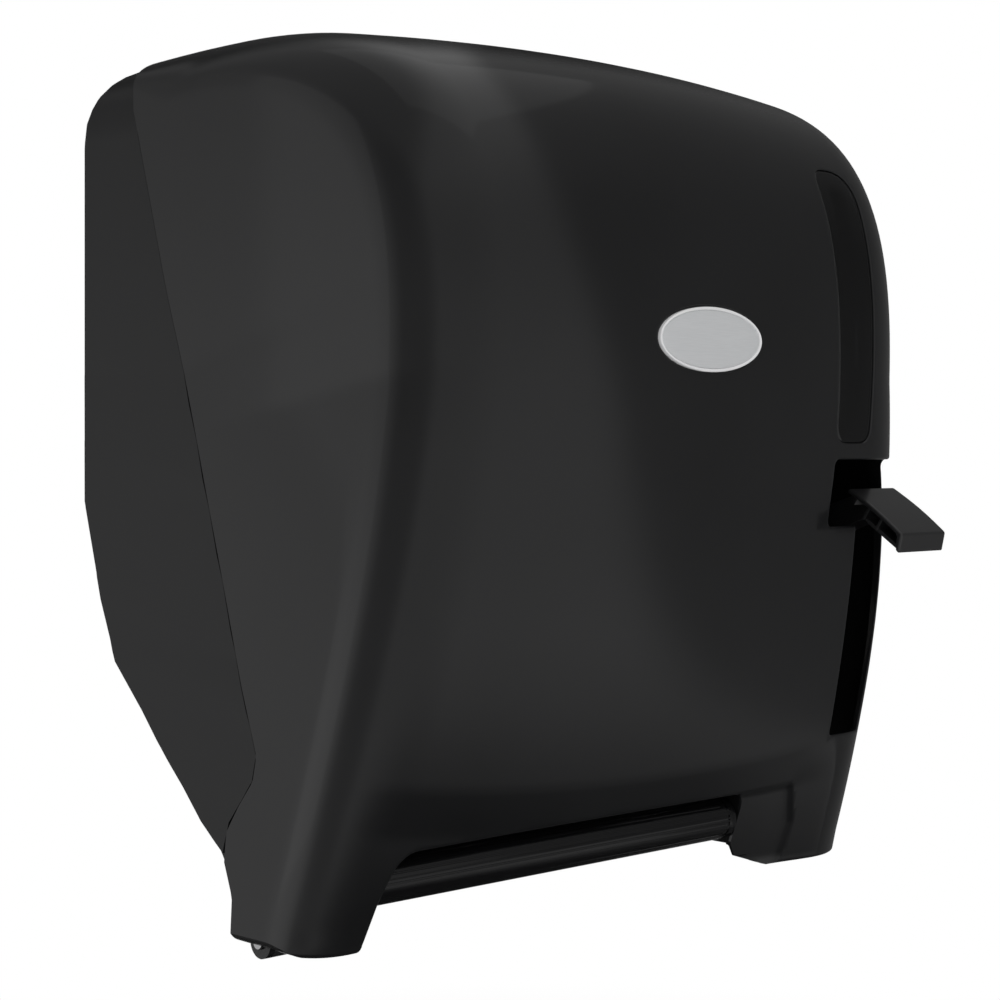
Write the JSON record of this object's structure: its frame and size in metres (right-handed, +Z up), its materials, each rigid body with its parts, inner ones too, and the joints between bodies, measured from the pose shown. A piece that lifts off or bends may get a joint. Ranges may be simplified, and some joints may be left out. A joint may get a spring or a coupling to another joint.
{
  "type": "paper towel dispenser",
  "caption": "Wall-hung lever dispenser for a roll of paper towel, with a curved cover that swings down, a sight window, a guard roller and a geared feed roller.",
  "frame": {"origin": "middle of the flat on the back that lies on the wall, which is also the middle of the four wall holes", "axes": "+X to the right as seen from the front, +Y into the wall, +Z up; the front faces -Y"},
  "size_m": [0.3588, 0.246, 0.4052],
  "materials": {
    "shell": "satin moulded black",
    "moulding": "satin moulded black",
    "smoked_window": "smoked clear plastic",
    "badge": "brushed",
    "bright_trim": "polished",
    "gloss_roller": "polished black",
    "white_plastic": "moulded",
    "rubber": "matt",
    "steel": "zinc plated"
  },
  "bodies": {
    "housing": {"rear_housing": "shell", "frame_left": "moulding", "frame_right": "moulding", "tie_rods": "steel", "housing_screws": "steel", "gear_plate": "moulding", "gear_plate_posts": "steel", "lever_bushings": "white_plastic", "feed_bushings": "white_plastic", "lever_buffer": "rubber", "lever_spring": "steel", "backstop_clutch": "steel", "front_guide": "moulding", "yoke_pins": "steel", "yoke_springs": "steel", "roll_arm_right": "moulding", "plug_axle_right": "steel", "arm_pin": "steel", "arm_spring": "steel", "lock_keeper": "steel", "hinge_bracket_left": "moulding", "hinge_bracket_right": "moulding", "hinge_screws": "steel"},
    "cover": {"front_cover": "shell", "sight_window": "smoked_window", "badge_plate": "badge", "badge_bezel": "bright_trim", "guard_collars": "moulding", "guard_rod": "steel", "tear_bar_holder": "moulding", "tear_blade": "steel", "tear_bar_screws": "steel", "lock_barrel": "steel", "lock_nut": "steel", "hinge_pins": "steel"},
    "guard_roller": {"guard_roller": "gloss_roller"},
    "lever": {"lever": "moulding", "lever_shaft": "steel", "sector_gear": "white_plastic", "shaft_clips": "steel"},
    "feed_roller": {"feed_shaft": "steel", "feed_core": "moulding", "feed_sleeves": "rubber", "drive_pinion": "white_plastic", "one_way_clutch": "steel", "thread_wheel": "moulding"},
    "pressure_yoke": {"pressure_yoke": "moulding", "pressure_shaft": "steel"},
    "pressure_roller": {"pressure_roller": "moulding"},
    "left_arm": {"roll_arm_left": "moulding", "plug_axle_left": "steel"},
    "left_plug": {"roll_plug_left": "white_plastic"},
    "right_plug": {"roll_plug_right": "white_plastic"},
    "lock": {"lock_plug": "steel", "lock_cam": "steel"}
  },
  "joints": [
    {"name": "cover_open", "type": "hinge", "parent": "housing", "child": "cover", "pos_m": [0, -0.134, -0.265], "axis": [1, 0, 0], "range_deg": [0, 90]},
    {"name": "lever_press", "type": "hinge", "parent": "housing", "child": "lever", "pos_m": [0.145, -0.105, -0.123], "axis": [1, 0, 0], "range_deg": [0, 45], "stiffness_Nm_per_rad": 0.8, "springref_deg": -34.38},
    {"name": "feed_turn", "type": "hinge", "parent": "housing", "child": "feed_roller", "pos_m": [0, -0.13, -0.20476], "axis": [1, 0, 0], "continuous": true},
    {"name": "yoke_swing", "type": "hinge", "parent": "housing", "child": "pressure_yoke", "pos_m": [0, -0.092, -0.163], "axis": [1, 0, 0], "range_deg": [0, 3], "stiffness_Nm_per_rad": 4, "springref_deg": -5.73},
    {"name": "pressure_turn", "type": "hinge", "parent": "pressure_yoke", "child": "pressure_roller", "pos_m": [0, -0.10495, -0.20828], "axis": [1, 0, 0], "continuous": true},
    {"name": "guard_turn", "type": "hinge", "parent": "cover", "child": "guard_roller", "pos_m": [0, -0.166, -0.239], "axis": [1, 0, 0], "continuous": true},
    {"name": "arm_swing", "type": "hinge", "parent": "housing", "child": "left_arm", "pos_m": [-0.133, -0.015, -0.013], "axis": [0, 0, -1], "range_deg": [0, 12], "stiffness_Nm_per_rad": 1.5, "springref_deg": -11.46},
    {"name": "left_plug_turn", "type": "hinge", "parent": "left_arm", "child": "left_plug", "pos_m": [-0.117, -0.118, -0.013], "axis": [1, 0, 0], "continuous": true},
    {"name": "right_plug_turn", "type": "hinge", "parent": "housing", "child": "right_plug", "pos_m": [0.077, -0.118, -0.013], "axis": [1, 0, 0], "continuous": true},
    {"name": "lock_turn", "type": "hinge", "parent": "cover", "child": "lock", "pos_m": [0, -0.064, 0.113], "axis": [0, 0, -1], "range_deg": [0, 90]}
  ],
  "couplings": [
    {"joint": "feed_turn", "follows": "lever_press", "ratio": -5.3333},
    {"joint": "pressure_turn", "follows": "lever_press", "ratio": 9.4815}
  ]
}
